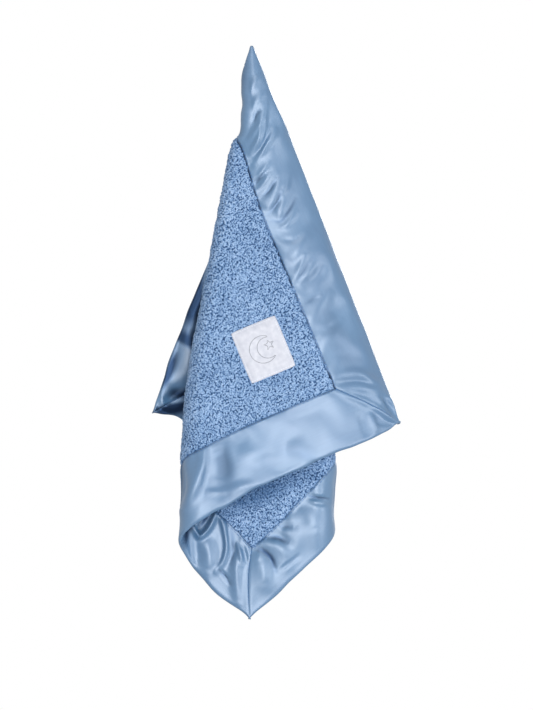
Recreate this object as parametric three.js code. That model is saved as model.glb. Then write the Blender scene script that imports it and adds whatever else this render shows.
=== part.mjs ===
// A comfort blanket: two square plush panels laid back to back, a wide satin binding folded over
// their edges and mitred at the corners, a sewn label, and the threads that hold it all together.
// It hangs from one corner, where the binding is gripped, and falls in three layers.
//
// Millimetres, +Z up, -Y towards the viewer. The origin is the middle of the front face that is
// gripped. On the flat blanket u runs down the right edge and v along the top edge, both
// measured from the held corner. A fold is a straight line that fans out from that corner, so
// the folds are placed by distance from it and by angle round it.
import * as THREE from 'three';

// The blanket as it is cut and sewn
const side = 355.6; // finished square, 14 inches
const bindingFront = 50.8; // satin on the front, 2 inches
const bindingBack = 44.5; // satin on the back, 1 3/4 inches
const pileThickness = 3.5; // one plush panel, pile included
const allowanceThickness = 0.7; // its edge, flattened inside the binding
const panelGap = 0.6; // between the two panels
const seamAllowance = 8; // how far the panels run under the narrower leaf
const pileShoulder = 5; // over which the pile stands up beside the seam
const satinThickness = 0.5; // one leaf of the folded binding
const clearance = 0.3; // between any two pieces
const mitreClearance = 0.8; // between two strips, at their mitre
const seamPlay = 0.65; // between a panel's edge and the satin over it
const threadLift = 0.4; // under a thread
const stitchInset = 2.5; // topstitching, in from a leaf's sewn edge
const threadWidth = 0.7;
const threadHeight = 0.4;
const foldRound = 1.6; // depth of the rounded outer edge
const cornerBlunt = 2.5; // the turned corners stop this short of a point

// The label, sewn on the front near the bottom right corner
const labelWidth = 42;
const labelHeight = 48;
const labelThickness = 0.6;
const labelFromRightSeam = 22;
const labelFromBottomSeam = 30;
const labelStitchInset = 1.8;

// How it hangs. A lean is the slope of a line from the held corner, in degrees, positive to the
// right of straight down. The two folds' leans are given at distances from that corner.
const cornerLeft = 14.4; // from the origin to the held corner
const cornerAbove = 53.1;
const rightEdgeLean = 21.2;
const leftFoldLean = [
  [0, -15], [30, -12.5], [60, -9.2], [90, -9.4], [130, -10.3],
  [220, -10.3], [290, -10.4], [360, -9.5], [430, -8.7], [510, -8.2],
];
const rightFoldLean = [
  [0, 9], [30, 12.5], [60, 14], [100, 13.4], [160, 11.4],
  [260, 10.6], [370, 11], [440, 10.2], [510, 10],
];
const backEdgeLean = [
  [0, -12], [30, -10.5], [60, -6.5], [110, -6.5],
  [165, -8.8], [225, -12.2], [290, -14.2], [360, -15.2],
];
const edgeTurn = 45; // the right edge turns back by this angle
const edgeTurnSpan = 14; // of flat angle, over which it does
const airGrowth = 0.07; // room between layers, per mm down
const airFrom = 30; // and from about here
const airEase = 10;
const tipOpening = 10; // the layers open over about this distance
const tipPitch = 1.2; // the least distance between layers, at the very tip
const waveCount = 1; // loose waves in the back layer
const waveDepth = 0.1; // per mm down
const waveFrom = 40; // and they start below the grip
const gatherAngle = 3.6; // of flat cloth, taken up low in the front layer, where it bulges
const gatherDepth = 10;
const gatherStart = 17; // of flat angle
const gatherFrom = 280;
const gatherTo = 480;
const backSlack = 0.06; // share of the back edge's length that is taken up in small ripples
const forwardTilt = 0.085; // the front layer swings forward, so that the weight hangs under the grip

// The grip: its footprint, with the layers pressed flat under it
const gripWidth = 14.5;
const gripHeight = 28;
const gripFade = 14;

const plushBlue = 0x7fa3d6;
const satinBlue = 0x6f97c4;
const labelWhite = 0xf1f0f4;
const threadBlue = 0x4f7299;

const { degToRad, radToDeg, smoothstep, lerp: mix, clamp } = THREE.MathUtils;
const smooth = (t) => smoothstep(t, 0, 1);
const panelInset = bindingBack - seamAllowance;
const leafCentre = allowanceThickness + seamPlay + satinThickness / 2;
const leafOuter = leafCentre + satinThickness / 2;

// A smooth curve through [distance, value] points
function along(points, r) {
  const last = points.length - 2;
  let i = 0;
  while (i < last && r > points[i + 1][0]) i++;
  const slope = (k) => {
    const before = points[Math.max(k - 1, 0)];
    const after = points[Math.min(k + 1, last + 1)];
    return (after[1] - before[1]) / (after[0] - before[0]);
  };
  const [r0, a] = points[i];
  const [r1, b] = points[i + 1];
  const t = clamp((r - r0) / (r1 - r0), 0, 1);
  const span = r1 - r0;
  const bent = t * (1 - t) * (slope(i) * span * (1 - t) - slope(i + 1) * span * t + (b - a) * (2 * t - 1));
  return a + (b - a) * t + bent;
}

// The distance from one layer to the next, first as the cloth's own length allows
const satinStack = 2 * leafOuter;
const plushStack = clearance + 2 * pileThickness;
const plushStart = Math.SQRT2 * panelInset;
const gripPitch = satinStack + threadLift + threadHeight + clearance / 2;

function loosePitch(r) {
  const stack = mix(satinStack, plushStack, smooth(r / plushStart - 1));
  const down = r - airFrom;
  return (stack * r) / (r + tipOpening) + (airGrowth * (down + Math.hypot(down, airEase))) / 2;
}
const pitch = (r) => Math.hypot(loosePitch(r), tipPitch);

// Where the folds start and end, as flat angles at one distance: the cloth runs left, turns over,
// runs right, turns over again and runs left
const turnLoss = edgeTurnSpan * (1 - Math.sin(degToRad(edgeTurn)) / degToRad(edgeTurn));

function foldsAt(r) {
  const round = radToDeg(loosePitch(r) / 2 / r);
  const left = along(leftFoldLean, r);
  const right = along(rightFoldLean, r);
  const gather = gatherAngle * smooth((r - gatherFrom) / (gatherTo - gatherFrom));
  const leftFrom = rightEdgeLean - left - round + turnLoss + gather;
  const leftTo = leftFrom + Math.PI * round;
  const rightFrom = leftTo + Math.max(right - left - 2 * round, 0.5);
  const rightTo = Math.min(rightFrom + Math.PI * round, 88);
  return { round, left, right, leftFrom, leftTo, gather, rightFrom, rightTo };
}

// The lean, the layer (0 in front, 1 in the middle, 2 at the back) and the waves' depth
function lie(r, flat) {
  const f = foldsAt(r);
  if (flat < f.leftTo) {
    const turn = degToRad(edgeTurn) * Math.max(0, 1 - flat / edgeTurnSpan);
    const arc = degToRad(edgeTurnSpan) / degToRad(edgeTurn);
    const turned = radToDeg(arc * (Math.sin(degToRad(edgeTurn)) - Math.sin(turn)));
    const gathered = clamp((flat - gatherStart) / (f.leftFrom - gatherStart), 0, 1);
    const run = turned + Math.max(0, flat - edgeTurnSpan) - f.gather * gathered;
    const back = r * arc * (1 - Math.cos(turn));
    const bulge = ((f.gather / gatherAngle) * gatherDepth * (1 - Math.cos(2 * Math.PI * gathered))) / 2;
    const t = Math.max(0, (flat - f.leftFrom) / (f.leftTo - f.leftFrom));
    const lean = t ? f.left + f.round * (1 - Math.sin(Math.PI * t)) : rightEdgeLean - run;
    return { lean, layer: (1 - Math.cos(Math.PI * t)) / 2, wave: back - bulge, run: 0 };
  }
  if (flat < f.rightTo) {
    const t = Math.max(0, (flat - f.rightFrom) / (f.rightTo - f.rightFrom));
    const lean = t ? f.right - f.round * (1 - Math.sin(Math.PI * t)) : f.left + f.round + flat - f.leftTo;
    return { lean, layer: 1 + (1 - Math.cos(Math.PI * t)) / 2, wave: 0, run: 0 };
  }
  const run = (flat - f.rightTo) / (90 - f.rightTo);
  const loose = waveDepth * r * smooth(r / waveFrom - 1);
  const wave = (loose * (1 - Math.cos(2 * Math.PI * waveCount * run))) / 2;
  return { lean: mix(f.right - f.round, along(backEdgeLean, r), run), layer: 2, wave, run };
}

// Where a point of the flat blanket is when it hangs
function hang(u, v) {
  const r = Math.hypot(u, v);
  const { lean, layer, wave, run } = lie(r, radToDeg(Math.atan2(v, u)));
  const reach = r * (1 - backSlack * smooth(run));
  const x = reach * Math.sin(degToRad(lean)) - cornerLeft;
  const z = cornerAbove - reach * Math.cos(degToRad(lean));
  const free = pitch(r) * layer + wave - forwardTilt * (r - Math.hypot(cornerLeft, cornerAbove));
  const pressed = layer * mix(gripPitch, pitch(r), smooth((r - plushStart) / seamAllowance));
  return new THREE.Vector3(x, mix(free, pressed, gripShare(x, z)) + leafOuter, z);
}

// 1 in the grip, fading to 0 round it
function gripShare(x, z) {
  const out = Math.max((Math.abs(x) - gripWidth / 2) / gripFade, (Math.abs(z) - gripHeight / 2) / gripFade, 0);
  return 1 - smooth(out);
}

// The way the blanket's front faces at a point of it
function facing(u, v) {
  const step = 0.05;
  const du = hang(u + step, v).sub(hang(u - step, v));
  const dv = hang(u, v + step).sub(hang(u, v - step));
  return dv.cross(du).normalize();
}

const raised = (u, v, height) => hang(u, v).addScaledVector(facing(u, v), height);

// A closed solid from points and triangles. Points that coincide become one, and the triangles
// that close to nothing between them are left out.
function closedSolid(points, triangles) {
  const seen = new Map();
  const unique = [];
  const weld = points.map((p) => {
    const key = p.toArray().map((c) => Math.round(c * 2000)).join();
    if (!seen.has(key)) {
      seen.set(key, unique.length);
      unique.push(p);
    }
    return seen.get(key);
  });
  const faces = [];
  let volume = 0;
  for (let i = 0; i < triangles.length; i += 3) {
    const [a, b, c] = triangles.slice(i, i + 3).map((k) => weld[k]);
    if (a === b || b === c || c === a) continue;
    faces.push(a, b, c);
    volume += unique[a].dot(unique[b].clone().cross(unique[c])) / 6;
  }
  const geometry = new THREE.BufferGeometry();
  geometry.setAttribute('position', new THREE.Float32BufferAttribute(unique.flatMap((p) => p.toArray()), 3));
  geometry.setIndex(volume < 0 ? faces.reverse() : faces);
  return geometry;
}

// A closed solid between two grids of points, row by row
function solidBetween(top, bottom) {
  const rows = top.length;
  const columns = top[0].length;
  const shell = rows * columns;
  const at = (i, j) => i * columns + j;
  const faces = [];
  const quad = (a, b, c, d) => faces.push(a, b, c, a, c, d);
  for (let i = 0; i + 1 < rows; i++) {
    for (let j = 0; j + 1 < columns; j++) {
      const corners = [at(i, j), at(i, j + 1), at(i + 1, j + 1), at(i + 1, j)];
      quad(...corners);
      quad(...corners.map((k) => k + shell).reverse());
    }
  }
  const rim = [];
  for (let j = 0; j + 1 < columns; j++) rim.push(at(0, j));
  for (let i = 0; i + 1 < rows; i++) rim.push(at(i, columns - 1));
  for (let j = columns - 1; j > 0; j--) rim.push(at(rows - 1, j));
  for (let i = rows - 1; i > 0; i--) rim.push(at(i, 0));
  rim.forEach((a, k) => {
    const b = rim[(k + 1) % rim.length];
    quad(b, a, a + shell, b + shell);
  });
  return closedSolid([...top.flat(), ...bottom.flat()], faces);
}

function piece(name, geometry, color, roughness) {
  const material = new THREE.MeshStandardMaterial({ color, roughness, metalness: 0 });
  const mesh = new THREE.Mesh(geometry, material);
  mesh.name = name;
  return mesh;
}

// Columns of a mesh: angles that run between the stops, which move with the distance. Each stop
// is a function of the distance, and there are as many cells to the next one as cells says.
function columnsOf(stops, cells) {
  const columns = cells.flatMap((count, k) =>
    Array.from({ length: count }, (_, i) => (r) => mix(stops[k](r), stops[k + 1](r), i / count)));
  return [...columns, stops.at(-1)];
}

// The point of a column that lies at a distance, which may itself depend on the angle
function pointOn(column, reach) {
  let r = side / 2;
  let flat = 0;
  for (let i = 0; i < 60; i++) {
    flat = column(r);
    r = mix(r, reach(degToRad(flat)), 0.6);
  }
  return [r * Math.cos(degToRad(flat)), r * Math.sin(degToRad(flat))];
}

const fixed = (flat) => () => flat;
const cornerRay = (inset) => radToDeg(Math.atan2(inset, side - inset));
const foldStop = (key, from = 0) => (r) => Math.abs(from - foldsAt(r)[key]);
const foldCells = 6;
const waveCells = 8;
const lastRow = 0.82; // of a leaf's width, where a row of the satin and one of the panel agree
const commonRay = fixed(cornerRay(Math.max(bindingFront, bindingBack) + pileShoulder));

// One plush panel: face is 1 for the front and -1 for the back
function plushPanel(name, face) {
  const low = panelInset;
  const high = side - panelInset;
  const seam = face > 0 ? bindingFront : bindingBack;
  const rays = [low, seam, seam + pileShoulder].map(cornerRay);
  const stops = [
    ...rays.map(fixed), commonRay, foldStop('leftFrom'), foldStop('leftTo'), fixed(45),
    foldStop('rightFrom'), foldStop('rightTo'), fixed(90 - commonRay()),
    ...rays.map((ray) => fixed(90 - ray)).reverse(),
  ];
  const columns = columnsOf(stops, [1, 1, 1, 4, foldCells, 2, 2, foldCells, waveCells, 1, 1, 1]);
  const under = seam - low;
  const entry = [0, Math.max(seam * lastRow - low, 0), under, under + pileShoulder / 2.4, under + pileShoulder];
  const height = (u, v) => {
    const inside = Math.min(u, side - u, v, side - v) - seam;
    const shoulder = Math.sqrt(1 - (1 - clamp(inside / pileShoulder, 0, 1)) ** 2);
    return mix(allowanceThickness, pileThickness, shoulder);
  };
  // Towards the two far corners the rows from both sides meet on the diagonal
  const meet = (a) => side / (Math.cos(a) + Math.sin(a));
  const near = (inset) => (a) => Math.min((low + inset) / Math.min(Math.sin(a), Math.cos(a)), meet(a));
  const far = (inset) => (a) => Math.max((high - inset) / Math.max(Math.sin(a), Math.cos(a)), meet(a));
  const between = (t) => (a) => mix(near(entry.at(-1))(a), far(entry.at(-1))(a), t);
  const reaches = [...entry.map(near), ...[0.25, 0.5, 0.75].map(between), ...entry.map(far).reverse()];
  const spots = columns.map((column) => reaches.map((reach) => pointOn(column, reach)));
  const skin = (heightAt) => spots.map((row) => row.map(([u, v]) => raised(u, v, face * heightAt(u, v))));
  return piece(name, solidBetween(skin(height), skin(() => panelGap / 2)), plushBlue, 0.95);
}

// The four sides. Each is measured from its own end of the diagonal: turned sides swap u and v.
const leftTurn = [foldStop('leftFrom'), (r) => Math.min(foldsAt(r).leftTo, 43.5)];
const rightTurn = [(r) => Math.max(90 - foldsAt(r).rightTo, 10), foldStop('rightFrom', 90)];
const sides = {
  right: { turned: false, folds: leftTurn, runCells: 4, restCells: 2 },
  bottom: { turned: false, folds: leftTurn, runCells: 4, restCells: 2 },
  left: { turned: true, folds: rightTurn, runCells: waveCells, restCells: 2 },
  top: { turned: true, folds: rightTurn, runCells: waveCells, restCells: 2 },
};
const mitreGap = mitreClearance / Math.SQRT2;
const diagonal = (r) => 45 - radToDeg(Math.asin(mitreClearance / 2 / r));
const inOrder = ([u, v], turned) => (turned ? [v, u] : [u, v]);
const roundAt = (w) => Math.sqrt(Math.max(0, 1 - (1 - clamp(w / foldRound, 0, 1)) ** 2));
const edgeSteps = [0, foldRound * 0.3, foldRound];

// The leaves close up towards the very tip
function leafHeight(u, v) {
  return Math.min(leafCentre, pitch(Math.hypot(u, v)) / 2 - satinThickness / 2 - clearance / 4);
}

// A binding strip: one length of satin folded over the edge, its two leaves running in to the
// seams on the front and the back, and its ends cut to the mitres. The strips that start at the
// held corner are meshed along it, and the other two across.
function bindingStrip(name, spotsOf) {
  const skin = (lift, edge) => {
    const leaf = (face) =>
      spotsOf(face > 0 ? bindingFront : bindingBack, edge).map((row) =>
        row.map(({ at: [u, v], w }) => raised(u, v, face * (leafHeight(u, v) + lift) * roundAt(w))));
    const back = leaf(-1);
    return leaf(1).map((row, i) => [...row.slice(1).reverse(), ...back[i]]);
  };
  const solid = solidBetween(skin(satinThickness / 2, 0), skin(-satinThickness / 2, satinThickness));
  return piece(name, solid, satinBlue, 0.35);
}

const rowShares = [0, 0.03, 0.07, 0.125, 0.19, 0.27, 0.37, 0.5, 0.65];

// Spots of a strip that starts at the held corner: rows by distance, columns from the outer edge in
function spotsAlong({ turned, folds, runCells, restCells }, width, edge) {
  const shift = (w) => w + edge * (1 - w / foldRound);
  const edgeAngle = (w) => (r) =>
    radToDeg(Math.min(Math.asin(Math.min(shift(w) / r, 1)), (0.14 * shift(w)) / foldRound));
  const stops = [...edgeSteps.map(edgeAngle), fixed(cornerRay(width)), commonRay, ...folds, diagonal];
  const columns = columnsOf(stops, [1, 1, 3, 1, runCells, foldCells, restCells]);
  const exit = (inset) => (a) =>
    Math.min((width - inset) / Math.sin(a), (side - mitreGap) / (Math.cos(a) + Math.sin(a)));
  const stitched = (a) => (exit(0)(a) * (width - stitchInset)) / width;
  const last = (a) => exit(0)(a) * lastRow;
  const reaches = [...rowShares.map((t) => (a) => mix(cornerBlunt, exit(0)(a), t)), last, stitched, exit(0)];
  return reaches.map((reach) =>
    columns.map((column, j) => ({ at: inOrder(pointOn(column, reach), turned), w: edgeSteps[j] ?? foldRound })));
}

// Spots of a strip across its width: rows round the blanket, columns from the outer edge in
function spotsAcross({ turned, folds, runCells, restCells }, width, edge) {
  const blunt = radToDeg(Math.atan2(cornerBlunt, side - cornerBlunt));
  const stops = [fixed(blunt), fixed(cornerRay(width)), commonRay, ...folds, diagonal];
  const columns = columnsOf(stops, [3, 1, runCells, foldCells, restCells]);
  const inward = [...edgeSteps, width * 0.4, width * lastRow, width - stitchInset, width];
  const reachOf = (w) => (a) => {
    const room = Math.min(width, side - (side + mitreGap) / (1 + Math.tan(a)));
    const round = Math.min(foldRound, 0.4 * room);
    const outer = ((w + edge * (1 - w / foldRound)) * round) / foldRound;
    const shifted = w < foldRound ? outer : mix(round, room, (w - foldRound) / (width - foldRound));
    return (side - shifted) / Math.cos(a);
  };
  return columns.map((column) =>
    inward.map((w) => ({ at: inOrder(pointOn(column, reachOf(w)), turned), w })));
}

// A thread lying on the blanket along a line of (u, v) points, on whatever comes up to that height.
// An open one is cut short by a share of its first and last stretch.
function thread(name, line, face, seat, closed, trim = [0, 0]) {
  const low = seat + threadLift;
  const count = line.length;
  const sections = line.map(([u, v], i) => {
    const [pu, pv] = closed ? line[(i + count - 1) % count] : line[Math.max(i - 1, 0)];
    const [nu, nv] = closed ? line[(i + 1) % count] : line[Math.min(i + 1, count - 1)];
    const along = new THREE.Vector2(nu - pu, nv - pv).normalize();
    const corner = (k, height) =>
      raised(u - (k * along.y * threadWidth) / 2, v + (k * along.x * threadWidth) / 2, face * height);
    return [corner(-1, low), corner(1, low), corner(1, low + threadHeight), corner(-1, low + threadHeight)];
  });
  if (closed) sections.push(sections[0]);
  const shorten = (from, to, share) => from.map((p, k) => p.clone().lerp(to[k], share));
  const end = sections.length - 1;
  if (trim[0]) sections[0] = shorten(sections[0], sections[1], trim[0]);
  if (trim[1]) sections[end] = shorten(sections[end], sections[end - 1], trim[1]);
  const faces = [];
  for (let i = 0; i + 1 < sections.length; i++) {
    for (let k = 0; k < 4; k++) {
      const [a, b] = [4 * i + k, 4 * i + ((k + 1) % 4)];
      faces.push(a, b, b + 4, a, b + 4, a + 4);
    }
  }
  const last = 4 * (sections.length - 1);
  if (!closed) faces.push(0, 2, 1, 0, 3, 2, last, last + 1, last + 2, last, last + 2, last + 3);
  return piece(name, closedSolid(sections.flat(), faces), threadBlue, 0.6);
}

// Topstitching: one run of thread round all four sides, just outside the sewn edge
function stitchRun(width) {
  const inset = width - stitchInset;
  const lineOf = ({ turned, folds, runCells, restCells }, reach) =>
    columnsOf([fixed(cornerRay(inset)), commonRay, ...folds, fixed(45)], [1, runCells, foldCells, restCells])
      .map((column) => inOrder(pointOn(column, reach), turned));
  const alongEdge = (a) => inset / Math.sin(a);
  const acrossRay = (a) => (side - inset) / Math.cos(a);
  return [
    ...lineOf(sides.right, alongEdge).reverse().slice(0, -1),
    ...lineOf(sides.bottom, acrossRay).slice(0, -1),
    ...lineOf(sides.left, acrossRay).reverse().slice(0, -1),
    ...lineOf(sides.top, alongEdge).slice(0, -1),
  ];
}

// Mitre seams, from near the turned corner in to the corner of the plush. Their points lie on the
// rows and columns of the two strips that meet there.
const mitreLines = {
  top_right: (width) => {
    const reach = width * Math.SQRT2;
    return [mix(cornerBlunt, reach, rowShares.at(-1)), reach * lastRow]
      .map((r) => [r / Math.SQRT2, r / Math.SQRT2]);
  },
  bottom_right: (width) => farMitre(width, false),
  bottom_left: (width) => [foldRound, width * 0.4, width * lastRow].map((w) => [side - w, side - w]),
  top_left: (width) => farMitre(width, true),
};
const mitreTrims = {
  top_right: [0.45, 0],
  bottom_right: [0.15, 0.3],
  bottom_left: [0.2, 0],
  top_left: [0.15, 0.3],
};

function farMitre(width, turned) {
  const first = Math.atan2(cornerBlunt, side - cornerBlunt);
  return [0, 1 / 3, 2 / 3, 1].map((t) => {
    const a = mix(first, degToRad(cornerRay(width)), t);
    const r = side / (Math.cos(a) + Math.sin(a));
    return inOrder([r * Math.cos(a), r * Math.sin(a)], turned);
  });
}

// The label lies on the pile, its upright edges parallel to the blanket's right edge
function labelSpots(inset, steps) {
  const top = side - bindingFront - labelFromBottomSeam - labelHeight;
  const right = bindingFront + labelFromRightSeam;
  const u = (t) => mix(top + inset, top + labelHeight - inset, t);
  const v = (t) => mix(right + inset, right + labelWidth - inset, t);
  return steps.map((s) => steps.map((t) => [u(s), v(t)]));
}

function sewnLabel(name) {
  const spots = labelSpots(0, [0, 0.2, 0.4, 0.6, 0.8, 1]);
  const skin = (height) => spots.map((row) => row.map(([u, v]) => raised(u, v, height)));
  const low = pileThickness + clearance;
  return piece(name, solidBetween(skin(low + labelThickness), skin(low)), labelWhite, 0.7);
}

function labelStitchRun() {
  const rows = labelSpots(labelStitchInset, [0, 0.25, 0.5, 0.75, 1]);
  const last = rows.length - 1;
  const edge = rows[0].slice(0, last);
  for (let i = 0; i < last; i++) edge.push(rows[i][last]);
  for (let j = last; j > 0; j--) edge.push(rows[last][j]);
  for (let i = last; i > 0; i--) edge.push(rows[i][0]);
  return edge;
}

const group = new THREE.Group();
group.add(plushPanel('front_plush_panel', 1));
group.add(plushPanel('back_plush_panel', -1));
group.add(bindingStrip('satin_binding_right', (width, edge) => spotsAlong(sides.right, width, edge)));
group.add(bindingStrip('satin_binding_bottom', (width, edge) => spotsAcross(sides.bottom, width, edge)));
group.add(bindingStrip('satin_binding_left', (width, edge) => spotsAcross(sides.left, width, edge)));
group.add(bindingStrip('satin_binding_top', (width, edge) => spotsAlong(sides.top, width, edge)));
group.add(thread('topstitch_front', stitchRun(bindingFront), 1, leafOuter, true));
group.add(thread('topstitch_back', stitchRun(bindingBack), -1, leafOuter, true));
for (const [corner, line] of Object.entries(mitreLines)) {
  const trim = mitreTrims[corner];
  group.add(thread(`mitre_stitch_${corner}_front`, line(bindingFront), 1, leafOuter, false, trim));
  group.add(thread(`mitre_stitch_${corner}_back`, line(bindingBack), -1, leafOuter, false, trim));
}
group.add(sewnLabel('sewn_label'));
group.add(thread('label_stitch', labelStitchRun(), 1, pileThickness + clearance + labelThickness, true));

export default group;
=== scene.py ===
# A square comfort blanket hanging from one corner: two plush panels, a satin binding folded over
# their edges, a sewn label and the stitching. Lengths are in millimetres and leave in metres.
import math

import bmesh
import bpy
import numpy as np
from mathutils import Matrix, Vector


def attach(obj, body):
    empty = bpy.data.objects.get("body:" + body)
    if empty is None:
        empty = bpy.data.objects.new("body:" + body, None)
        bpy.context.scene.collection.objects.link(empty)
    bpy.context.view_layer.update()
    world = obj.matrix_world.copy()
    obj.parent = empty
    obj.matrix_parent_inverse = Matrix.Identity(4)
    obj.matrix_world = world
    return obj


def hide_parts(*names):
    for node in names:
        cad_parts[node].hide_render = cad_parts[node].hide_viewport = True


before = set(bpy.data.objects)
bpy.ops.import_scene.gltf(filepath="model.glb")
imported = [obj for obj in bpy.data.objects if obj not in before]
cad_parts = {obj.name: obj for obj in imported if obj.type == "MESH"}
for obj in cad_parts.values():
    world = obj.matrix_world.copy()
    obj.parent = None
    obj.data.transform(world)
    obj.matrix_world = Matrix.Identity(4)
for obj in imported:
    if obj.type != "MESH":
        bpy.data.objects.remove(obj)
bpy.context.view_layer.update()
scene = bpy.context.scene
print("frame loaded:", len(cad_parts), "nodes")

# The flat blanket, and how it hangs
blanket = {
    "side": 355.6,  # finished square, 14 inches
    "bindingFront": 50.8,  # satin on the front, 2 inches
    "bindingBack": 44.5,
    "seamAllowance": 8,
    "pileThickness": 3.5,
    "allowance": 0.7,  # a panel's edge, flattened inside the binding
    "satinThickness": 0.5,
    "seamPlay": 0.65,  # between a panel's edge and the satin
}
hanging = {
    "cornerLeft": 14.4,  # from the gripped spot to the held corner
    "cornerAbove": 53.1,
    "rightEdgeLean": 21.2,  # leans are in degrees from straight down, in lists by distance
    "leftFoldLean": [
        (0, -14), (25, -9.6), (40, -5.4), (56, -3.2), (68, -4), (78, -5.6), (88, -9.2),
        (100, -10), (130, -10.3), (220, -10.3), (290, -10.4), (370, -9.2), (425, -8.3),
        (465, -8.3), (510, -8.2),
    ],
    "rightFoldLean": [
        (0, 9), (30, 12.5), (60, 14), (100, 13.4), (160, 11.4),
        (260, 10.6), (370, 11), (425, 9.6), (510, 9.5),
    ],
    "backEdgeLean": [
        (0, -12), (30, -10.5), (60, -6.5), (110, -6.5),
        (165, -8.8), (225, -12.2), (290, -14.2), (360, -15.2),
    ],
    "edgeTurn": 45,  # the right edge turns back by this angle
    "edgeTurnSpan": 14,  # over this much flat angle
    "airGrowth": 0.07,  # room between layers, per millimetre down
    "airFrom": 30,
    "airEase": 10,
    "tipOpening": 10,
    "tipPitch": 1.2,
    "waveDepth": 0.1,  # the loose wave in the back layer
    "waveReach": (40, 80),  # comes in over these distances
    "gatherAngle": 3.6,  # cloth taken up low in the front layer, where it bulges
    "gatherDepth": 10,
    "gatherStart": 17,
    "gatherReach": (280, 480),
    "backSlack": 0.06,
    "bunchAngle": 4.5,  # cloth that the grip bunches up in the front layer
    "bunchReach": (30, 50, 75, 160),  # comes in and goes out over these distances
    "bunchAcross": (8, 34, 45, 80),  # and these flat angles
    "edgeOut": 2.2,  # the loose outer edge stands out by this much
    "edgeOutReach": 8,
    "edgeOutFrom": (24, 84),
    "forwardTilt": 0.085,
    "gripWidth": 14.5,
    "gripHeight": 28,
    "gripFade": 14,
    "threadRoom": 0.95,  # between the pressed layers
}
side = blanket["side"]
front, back = blanket["bindingFront"], blanket["bindingBack"]
panelInset = back - blanket["seamAllowance"]
leafCentre = blanket["allowance"] + blanket["seamPlay"] + blanket["satinThickness"] / 2
leafOuter = leafCentre + blanket["satinThickness"] / 2
satinStack = 2 * leafOuter
plushStack = 0.3 + 2 * blanket["pileThickness"]
plushStart = math.sqrt(2) * panelInset
faces = (("front", 1, front), ("back", -1, back))


# Runs softly from 0 at the start to 1 at the end
def smooth(t, start=0, end=1):
    t = np.clip((t - start) / (end - start), 0, 1)
    return t * t * (3 - 2 * t)


def hump(t, start, full, fade, end):
    return smooth(t, start, full) * (1 - smooth(t, fade, end))


# From 0 to 1 and back while t goes from 0 to 1
def swing(t):
    return (1 - np.cos(2 * np.pi * t)) / 2


def mix(a, b, t):
    return a + (b - a) * t


# A smooth curve through (distance, value) points
def along(points, r):
    stops, values = np.array(points, float).T
    ends = (np.diff(values) / np.diff(stops))[[0, -1]]
    inner = (values[2:] - values[:-2]) / (stops[2:] - stops[:-2])
    slopes = np.concatenate([ends[:1], inner, ends[1:]])
    i = np.clip(np.searchsorted(stops, r) - 1, 0, len(stops) - 2)
    span = stops[i + 1] - stops[i]
    t = np.clip((r - stops[i]) / span, 0, 1)
    rise = values[i + 1] - values[i]
    bent = slopes[i] * span * (1 - t) - slopes[i + 1] * span * t + rise * (2 * t - 1)
    return values[i] + rise * t + t * (1 - t) * bent


# The distance from one layer to the next
def loosePitch(r):
    stack = mix(satinStack, plushStack, smooth(r, plushStart, 2 * plushStart))
    down = r - hanging["airFrom"]
    air = hanging["airGrowth"] * (down + np.hypot(down, hanging["airEase"])) / 2
    return stack * r / (r + hanging["tipOpening"]) + air


def pitch(r):
    return np.hypot(loosePitch(r), hanging["tipPitch"])


edgeTurn = math.radians(hanging["edgeTurn"])
edgeArc = math.radians(hanging["edgeTurnSpan"]) / edgeTurn
turnLoss = hanging["edgeTurnSpan"] * (1 - math.sin(edgeTurn) / edgeTurn)


# For a point at distance r and flat angle: its lean, its layer (0 front, 1 middle, 2 back), its
# wave, and how far it is along the back layer. The cloth runs left, turns over, runs right, turns
# over again and runs left.
def lie(r, flat):
    bunch = hanging["bunchAngle"] * hump(r, *hanging["bunchReach"])
    flat = flat - bunch * hump(flat, *hanging["bunchAcross"])
    roundness = np.degrees(loosePitch(r) / 2 / r)
    left = along(hanging["leftFoldLean"], r)
    right = along(hanging["rightFoldLean"], r)
    gatherShare = smooth(r, *hanging["gatherReach"])
    gather = hanging["gatherAngle"] * gatherShare
    leftFrom = hanging["rightEdgeLean"] - left - roundness + turnLoss + gather
    leftTo = leftFrom + np.pi * roundness
    rightFrom = leftTo + np.maximum(right - left - 2 * roundness, 0.5)
    rightTo = np.minimum(rightFrom + np.pi * roundness, 88)

    span, start = hanging["edgeTurnSpan"], hanging["gatherStart"]
    turn = edgeTurn * np.maximum(0, 1 - flat / span)
    turned = np.degrees(edgeArc * (math.sin(edgeTurn) - np.sin(turn)))
    gathered = np.clip((flat - start) / (leftFrom - start), 0, 1)
    frontRun = turned + np.maximum(0, flat - span) - gather * gathered
    rolledBack = r * edgeArc * (1 - np.cos(turn))
    bulge = gatherShare * hanging["gatherDepth"] * swing(gathered)
    t = np.clip((flat - leftFrom) / (leftTo - leftFrom), 0, 1)
    frontLean = np.where(t > 0, left + roundness * (1 - np.sin(np.pi * t)),
                         hanging["rightEdgeLean"] - frontRun)

    q = np.clip((flat - rightFrom) / (rightTo - rightFrom), 0, 1)
    middleLean = np.where(q > 0, right - roundness * (1 - np.sin(np.pi * q)),
                          left + roundness + flat - leftTo)

    run = np.clip((flat - rightTo) / (90 - rightTo), 0, 1.1)
    loose = hanging["waveDepth"] * r * smooth(r, *hanging["waveReach"])
    backLean = mix(right - roundness, along(hanging["backEdgeLean"], r), run)

    def pick(front, middle, back):
        return np.where(flat < leftTo, front, np.where(flat < rightTo, middle, back))

    return (pick(frontLean, middleLean, backLean), pick(swing(t / 2), 1 + swing(q / 2), 2),
            pick(rolledBack - bulge, 0, loose * swing(run)), pick(0, 0, run))


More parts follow.
